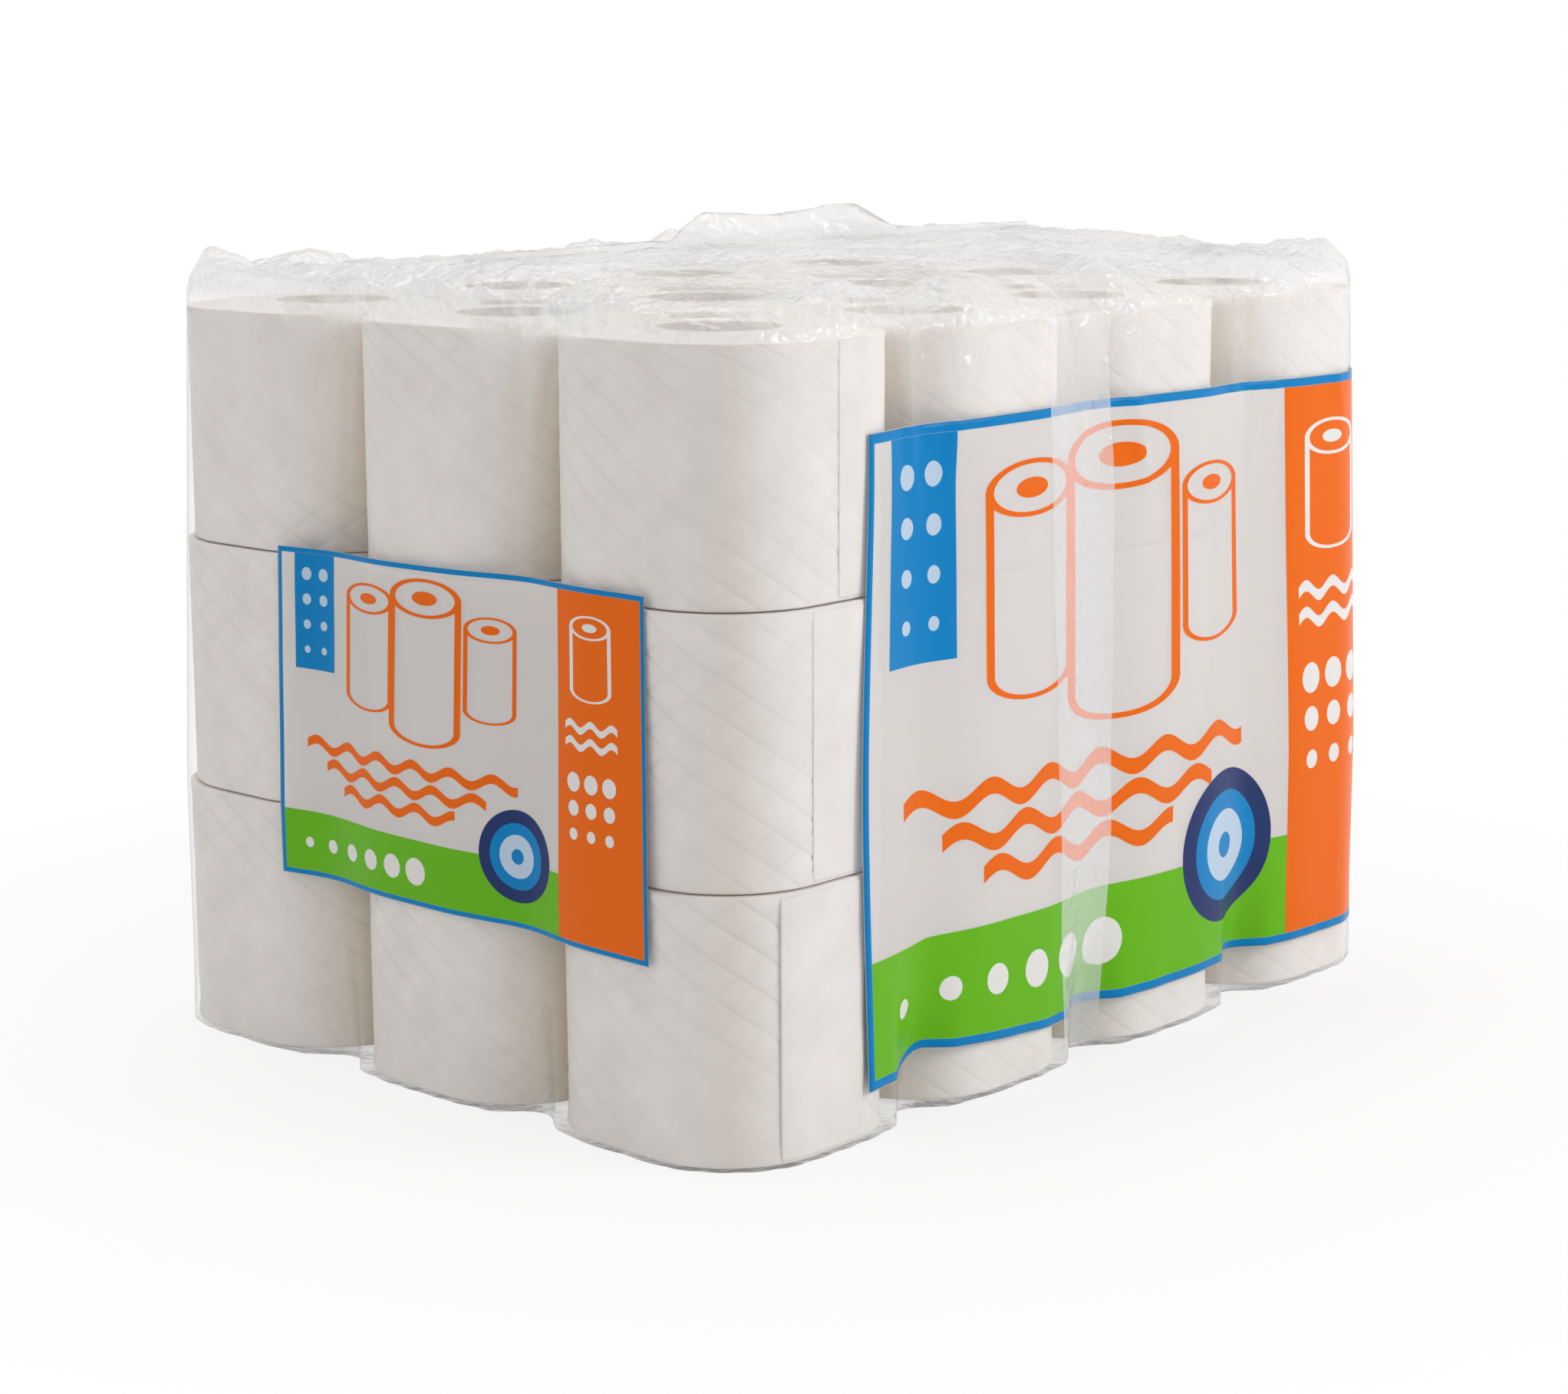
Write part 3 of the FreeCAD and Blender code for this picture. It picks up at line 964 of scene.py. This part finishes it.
# %% The lap strip
LAP_HEIGHTS = np.array([0, 25, 205, 296]) * mm
LAP_LEFT = np.array([-20.5, -21, -29, -31]) * mm
LAP_RIGHT = np.array([8.5, 9, 13, 11]) * mm
LAP_FOOT = 2.5 * mm
LAP_LIFT = 0.55 * mm
LAP_THICK = 0.12 * mm
LAP_HAZE = 0.33


def lap_strip():
    z = LAP_FOOT + (stack_top - RIM_SINK - LAP_FOOT) * edged(96)[:, None]
    left, right = np.interp(z, LAP_HEIGHTS, LAP_LEFT), np.interp(z, LAP_HEIGHTS, LAP_RIGHT)
    share = edged(12)[None, :]
    place = left + (right - left) * share + 0.4 * mm * np.sin(z * 90)
    thick = LAP_THICK * (np.abs(share - 0.5) < 0.495)
    outer = wall_at("front", place, z, LAP_LIFT)
    inner = wall_at("front", place, z, LAP_LIFT - thick - 0.01 * mm + 0 * place)
    strip = closed_sheet("lap_seal", outer, inner)
    point_values(strip.data, "haze", [LAP_HAZE] * len(strip.data.vertices))
    strip.data.materials.append(clear_film)
    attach(strip, "root")
    return strip


lap_strip()

# %% [markdown]
# ## Printed panels
# The ink lies on the film's wall and bends with it. Each panel is a thin closed sheet with a UV map from
# its lower left corner. The design is plain fields of colour with rolls, waves and dots, all drawn by
# shader masks, so it stays sharp at any size.

# %% Shader groups for printed shapes
SHARP = 4.0


def shape_group(name, inputs):
    """A group with U, V and named sizes in, and a mask out."""
    sockets = [(label, "NodeSocketFloat", 0.0) for label in ("U", "V") + inputs]
    return new_group(name, sockets, [("Mask", "NodeSocketFloat")])


def mask_out(group, result, away):
    """Turns a distance outside a shape, in millimetres, into a mask with a sharp edge."""
    mask = calc(group, "SUBTRACT", 1.0, calc(group, "MULTIPLY", away, SHARP), clamp=True)
    group.links.new(mask, result.inputs["Mask"])


def far_off(group, across, up):
    """How far a place is from a centre, by its distances across and up."""
    squares = [calc(group, "MULTIPLY", part, part) for part in (across, up)]
    return calc(group, "SQRT", calc(group, "ADD", *squares))


def box_group():
    """A mask that is 1 inside a rectangle given by its centre and half sizes."""
    group, given, result = shape_group("printed box", ("Centre U", "Centre V", "Half U", "Half V", "Round"))
    size, reach = given.outputs, []
    for way in ("U", "V"):
        off = calc(group, "ABSOLUTE", calc(group, "SUBTRACT", size[way], size["Centre " + way]))
        inner = calc(group, "SUBTRACT", size["Half " + way], size["Round"])
        reach.append(calc(group, "MAXIMUM", calc(group, "SUBTRACT", off, inner), 0.0))
    mask_out(group, result, calc(group, "SUBTRACT", far_off(group, *reach), size["Round"]))
    return group


def ring_group():
    """A mask that is 1 between two circles about a centre, or two ovals where they are squashed."""
    group, given, result = shape_group("printed ring", ("Centre U", "Centre V", "Inner", "Outer", "Squash"))
    u, v, centre_u, centre_v, inner, outer, squash = list(given.outputs)[:7]
    across = calc(group, "SUBTRACT", u, centre_u)
    up = calc(group, "MULTIPLY", calc(group, "SUBTRACT", v, centre_v), squash)
    away = far_off(group, across, up)
    beyond, within = calc(group, "SUBTRACT", away, outer), calc(group, "SUBTRACT", inner, away)
    mask_out(group, result, calc(group, "MAXIMUM", beyond, within))
    return group


def wave_group():
    """A mask that is 1 on a stroke that swings up and down between two ends."""
    group, given, result = shape_group("printed wave", ("Left", "Right", "Level", "Swing", "Length", "Half"))
    u, v, left, right, level, swing, length, half = list(given.outputs)[:8]
    turn = calc(group, "DIVIDE", calc(group, "SUBTRACT", u, left), length)
    height = calc(group, "MULTIPLY", calc(group, "SINE", calc(group, "MULTIPLY", turn, 2 * math.pi)), swing)
    off = calc(group, "ABSOLUTE", calc(group, "SUBTRACT", calc(group, "SUBTRACT", v, level), height))
    ends = calc(group, "MAXIMUM", calc(group, "SUBTRACT", left, u), calc(group, "SUBTRACT", u, right))
    mask_out(group, result, calc(group, "MAXIMUM", calc(group, "SUBTRACT", off, half), ends))
    return group


printed_box = box_group()
printed_ring = ring_group()
printed_wave = wave_group()

# %% Inks
INK = {"blue": srgb(0, 134, 202), "orange": srgb(246, 110, 8), "green": srgb(108, 190, 24),
       "navy": srgb(34, 54, 108), "milky": srgb(253, 249, 247), "pale blue": srgb(196, 216, 236),
       "white": srgb(240, 237, 235)}
SOLID = 0.99
MILKY = 0.55


class Print:
    """Lays printed shapes over each other and keeps the colour and the cover so far."""

    def __init__(self, tree, wide, tall, unit):
        self.tree = tree
        uv = tree.nodes.new("ShaderNodeUVMap")
        uv.uv_map = "panel"
        split = added(tree, "ShaderNodeSeparateXYZ", {0: uv.outputs[0]}).outputs
        self.place = {"U": calc(tree, "MULTIPLY", split[0], wide / unit),
                      "V": calc(tree, "MULTIPLY", split[1], tall / unit)}
        self.colour = self.cover = None

    def lay(self, group, values, ink, cover=SOLID):
        """Puts a shape in an ink over what is there."""
        mask = grouped(self.tree, group, {**self.place, **values}).outputs["Mask"]
        if self.colour is None:
            under, self.cover = INK[ink], calc(self.tree, "MULTIPLY", mask, cover)
        else:
            step = calc(self.tree, "SUBTRACT", cover, self.cover)
            under, self.cover = self.colour, calc(self.tree, "MULTIPLY_ADD", mask, step, self.cover)
        self.colour = blend(self.tree, mask, under, INK[ink])

    def box(self, left, right, low, high, ink, cover=SOLID):
        values = {"Centre U": (left + right) / 2, "Centre V": (low + high) / 2,
                  "Half U": (right - left) / 2, "Half V": (high - low) / 2}
        self.lay(printed_box, values, ink, cover)

    def ring(self, u, v, inner, outer, ink, cover=SOLID, squash=1.0):
        values = {"Centre U": u, "Centre V": v, "Inner": inner, "Outer": outer, "Squash": squash}
        self.lay(printed_ring, values, ink, cover)

    def wave(self, left, right, level, swing, length, half, ink):
        values = {"Left": left, "Right": right, "Level": level, "Swing": swing, "Length": length,
                  "Half": half}
        self.lay(printed_wave, values, ink)


# %% [markdown]
# The panel's fields are a blue border, a milky ground, a green foot and an orange side. Over them lie
# standing rolls in outline, soft waves and dots. A panel of another size draws the same shapes, in a unit
# that fits its height.

# %% Draw the panel's design
BORDER = 4.0
GREEN_TOP = 47.0
SIDE_WIDE = 84.0
OVAL = 2.6


def draw_fields(art, wide, tall):
    side = wide - SIDE_WIDE
    art.box(0, wide, 0, tall, "white", 0.4)
    art.box(0.5, wide - 0.5, 0.5, tall - 0.5, "blue")
    art.box(BORDER, wide - BORDER, BORDER, tall - BORDER, "milky", MILKY)
    art.box(BORDER, side, BORDER, GREEN_TOP, "green")
    art.box(side, wide - BORDER, BORDER, tall - BORDER, "orange")


def draw_roll(art, u, low, half, tall, line, body, cover):
    """A standing roll in outline: a body, an oval top and its core."""
    stroke = half * 0.17
    for reach, ink, fill in ((half, line, SOLID), (half - stroke, body, cover)):
        art.ring(u, low, 0, reach, ink, fill, OVAL)
        art.box(u - reach, u + reach, low, low + tall, ink, fill)
    art.ring(u, low + tall, 0, half, line, SOLID, OVAL)
    art.ring(u, low + tall, half * 0.36, half - stroke, body, cover, OVAL)


def draw_ground(art, wide, tall):
    """Rolls and waves on the milky ground, and a blue block with dots at its left."""
    art.box(16, 54, tall - 86, tall - BORDER, "blue")
    for i in range(4):
        for j in range(2):
            art.ring(27 + 16 * j, tall - (18 + 18 * i), 0, 4.4 - 0.6 * i, "pale blue")
    draw_roll(art, 96, tall - 96, 27, 68, "orange", "milky", MILKY)
    draw_roll(art, 212, tall - 92, 22, 54, "orange", "milky", MILKY)
    draw_roll(art, 154, tall - 110, 34, 88, "orange", "milky", MILKY)
    for level in (0, 1, 2):
        art.wave(26 + 20 * level, 236 - 26 * level, tall - (140 + 15 * level), 3.4, 36, 3.2, "orange")


def draw_side(art, wide, tall):
    """A roll, waves and dots in white down the orange side."""
    centre = wide - SIDE_WIDE + 33
    draw_roll(art, centre, tall - 66, 20, 40, "white", "orange", SOLID)
    for level in (0, 1):
        art.wave(centre - 25, centre + 25, tall - (90 + 11 * level), 2.4, 20, 2.2, "white")
    for i in range(3):
        for j in range(3):
            art.ring(centre - 17 + 17 * i, tall - (126 + 17 * j), 0, 6.2 - 1.2 * j, "white")


def draw_foot(art, wide, tall):
    """Drops that grow along the green foot, and a navy badge with a roll's end."""
    for i in range(6):
        art.ring(26 + 24 * i, GREEN_TOP * 0.52, 0, 3.6 + 1.2 * i, "white")
    badge = wide - SIDE_WIDE - 42
    art.ring(badge, GREEN_TOP + 3, 0, 32, "navy")
    art.ring(badge, GREEN_TOP + 3, 0, 23, "blue")
    art.ring(badge, GREEN_TOP + 3, 5.5, 15, "pale blue")


def panel_material(name, wide, tall, unit):
    """The panel's inks. Lengths are in millimetres and the drawing's unit is given in them."""
    material, tree, ink = new_material(name)
    art = Print(tree, wide, tall, unit)
    for draw in (draw_fields, draw_ground, draw_side, draw_foot):
        draw(art, wide / unit, tall / unit)
    normal = bump(tree, place_grain(tree, 500.0)["Cloud"], 0.2, 0.4 * mm)
    fed(tree, ink, {"Base Color": art.colour, "Alpha": art.cover, "Roughness": 0.3,
                    "Specular IOR Level": 0.12, "Normal": normal})
    return material


# %% Make the two panels
PANEL_LIFT = 0.35 * mm
PANEL_THICK = 0.15 * mm
PANEL_STEP = 3 * mm
PULL = 6 * mm
LONG_UNIT = 237.0


def wobble(place, z):
    """How far the ink wanders along the film, where it was stretched and gathered."""
    near_left = np.exp(-(((place + 0.137) / 0.04) ** 2))
    return (2.6 * np.sin(z * 23 + 1.7) * near_left - 0.9 * np.sin(place * 31 + z * 17)) * mm


def pulled_up(place, z):
    """How far the print's foot is pulled up right of the first valley, where the film is tucked in."""
    past = np.clip((place + pitch_x + 6 * mm) / (9 * mm), 0, 1)
    fade = np.clip(1 - (place + pitch_x) / (70 * mm), 0, 1)
    return PULL * past * fade * np.clip(1 - (z - 0.02) / 0.06, 0, 1)


def make_panel(name, side, left, right, low, high):
    """A thin closed sheet on the film, from left to right along a side, with its inks."""
    wide, tall = right - left, high - low
    share_u = edged(int(wide / PANEL_STEP))[None, :]
    share_v = edged(int(tall / PANEL_STEP))[:, None]
    place, z = left + wide * share_u + 0 * share_v, low + tall * share_v + 0 * share_u
    rise = wobble(z + 0.3, place) * 0.8 + pulled_up(place, z) * (side == "front")
    place, z = place + wobble(place, z), z + rise
    outer, inner = [wall_at(side, place, z, lift) for lift in (PANEL_LIFT, PANEL_LIFT - PANEL_THICK)]
    piece = closed_sheet(name, outer, inner)
    spots_u, spots_v = np.broadcast_arrays(share_u, share_v)
    spots = np.tile(np.column_stack([spots_u.ravel(), spots_v.ravel()]), (2, 1))
    corners = np.empty(len(piece.data.loops), dtype=np.int32)
    piece.data.loops.foreach_get("vertex_index", corners)
    piece.data.uv_layers.new(name="panel").data.foreach_set("uv", spots[corners].ravel())
    piece.data.materials.append(panel_material(name + " ink", wide / mm, tall / mm, tall / mm / LONG_UNIT))
    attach(piece, "root")


make_panel("long_panel", "front", left=-137.5 * mm, right=212 * mm, low=18.5 * mm, high=255.5 * mm)
make_panel("short_panel", "left", left=-78 * mm, right=119.6 * mm, low=72.5 * mm, high=201.7 * mm)

# %% [markdown]
# ## Ground, light and camera
# The pack stands on a plain pale floor in soft light. A big lamp at the front right rakes the long face, a
# weak one fills the left, one hangs above, and the sky gives the rest. The camera stands where a fit of the
# rolls' seams and silhouettes puts it, about a metre and a third away, looking a little down.

# %% Floor
FLOOR_HALF = 9.0
FLOOR_LOW = -0.2 * mm
ways = ((-1, -1), (1, -1), (1, 1), (-1, 1))
floor_corners = [(x * FLOOR_HALF, y * FLOOR_HALF, FLOOR_LOW) for x, y in ways]
floor = smooth_piece("floor", floor_corners, [(0, 1, 2, 3)])


def unseen_by_light(tree):
    """1 for rays that show the background to the eye, straight, in gloss or through film."""
    ray = tree.nodes.new("ShaderNodeLightPath")
    shown = calc(tree, "MAXIMUM", ray.outputs["Is Camera Ray"], ray.outputs["Is Transmission Ray"])
    return calc(tree, "MAXIMUM", shown, ray.outputs["Is Glossy Ray"])


def floor_material():
    """A pale matt floor that keeps a soft shadow and turns plain white away from the pack."""
    material, tree, matt = new_material("floor paint")
    fed(tree, matt, {"Base Color": (0.9, 0.9, 0.9, 1), "Roughness": 0.9, "Specular IOR Level": 0.0})
    where = tree.nodes.new("ShaderNodeTexCoord").outputs["Object"]
    distance = added(tree, "ShaderNodeVectorMath", {0: where})
    distance.operation = "LENGTH"
    fade = added(tree, "ShaderNodeMapRange", {
        "Value": distance.outputs["Value"], "From Min": 0.15, "From Max": 0.50, "To Min": 0.75})
    white = tree.nodes.new("ShaderNodeEmission")
    share = calc(tree, "MULTIPLY", fade.outputs[0], unseen_by_light(tree))
    surface_from(tree, mixed(tree, share, matt, white))
    return material


floor.data.materials.append(floor_material())

# %% World
AMBIENT = 0.50
world = bpy.data.worlds.new("studio")
bpy.context.scene.world = world
world.use_nodes = True
sky = world.node_tree
sky.nodes["Background"].inputs["Color"].default_value = (1, 1, 1, 1)
brightness = calc(sky, "MULTIPLY_ADD", unseen_by_light(sky), 1 - AMBIENT, AMBIENT)
sky.links.new(brightness, sky.nodes["Background"].inputs["Strength"])

# %% Lamps


def lamp(name, place, aim, size, power):
    data = bpy.data.lights.new(name, "AREA")
    data.shape = "RECTANGLE"
    data.size, data.size_y = size
    data.energy = power
    item = shown(name, data)
    item.location = place
    item.rotation_mode = "QUATERNION"
    item.rotation_quaternion = (Vector(aim) - Vector(place)).to_track_quat("-Z", "Y")


lamp("key", (1.0, -1.9, 1.1), (0, 0, 0.18), (0.9, 0.9), 20)
lamp("fill", (-1.6, 0.3, 0.9), (0, 0, 0.15), (1.0, 1.0), 2)
lamp("top", (0.1, 0.5, 1.8), (0, 0, 0.25), (1.2, 0.8), 8)

# %% Camera
IMAGE_WIDE = 2044
FOCAL_PIXELS = 4254
camera_place = Vector((-0.9912, -0.8950, 0.3826))
turn, pitch, tilt = math.radians(47.86), math.radians(11.05), math.radians(-0.2)
forward = Vector((math.sin(turn) * math.cos(pitch), math.cos(turn) * math.cos(pitch), -math.sin(pitch)))
right = Vector((math.cos(turn), -math.sin(turn), 0))
upward = right.cross(forward)
tilted_right = right * math.cos(tilt) + upward * math.sin(tilt)
tilted_up = upward * math.cos(tilt) - right * math.sin(tilt)
camera_data = bpy.data.cameras.new("camera")
camera_data.sensor_width = 36.0
camera_data.lens = camera_data.sensor_width * FOCAL_PIXELS / IMAGE_WIDE
camera = shown("camera", camera_data)
facing = Matrix((tilted_right, tilted_up, -forward)).transposed().to_4x4()
camera.matrix_world = Matrix.Translation(camera_place) @ facing
bpy.context.scene.camera = camera
bpy.context.scene.view_settings.view_transform = "Standard"
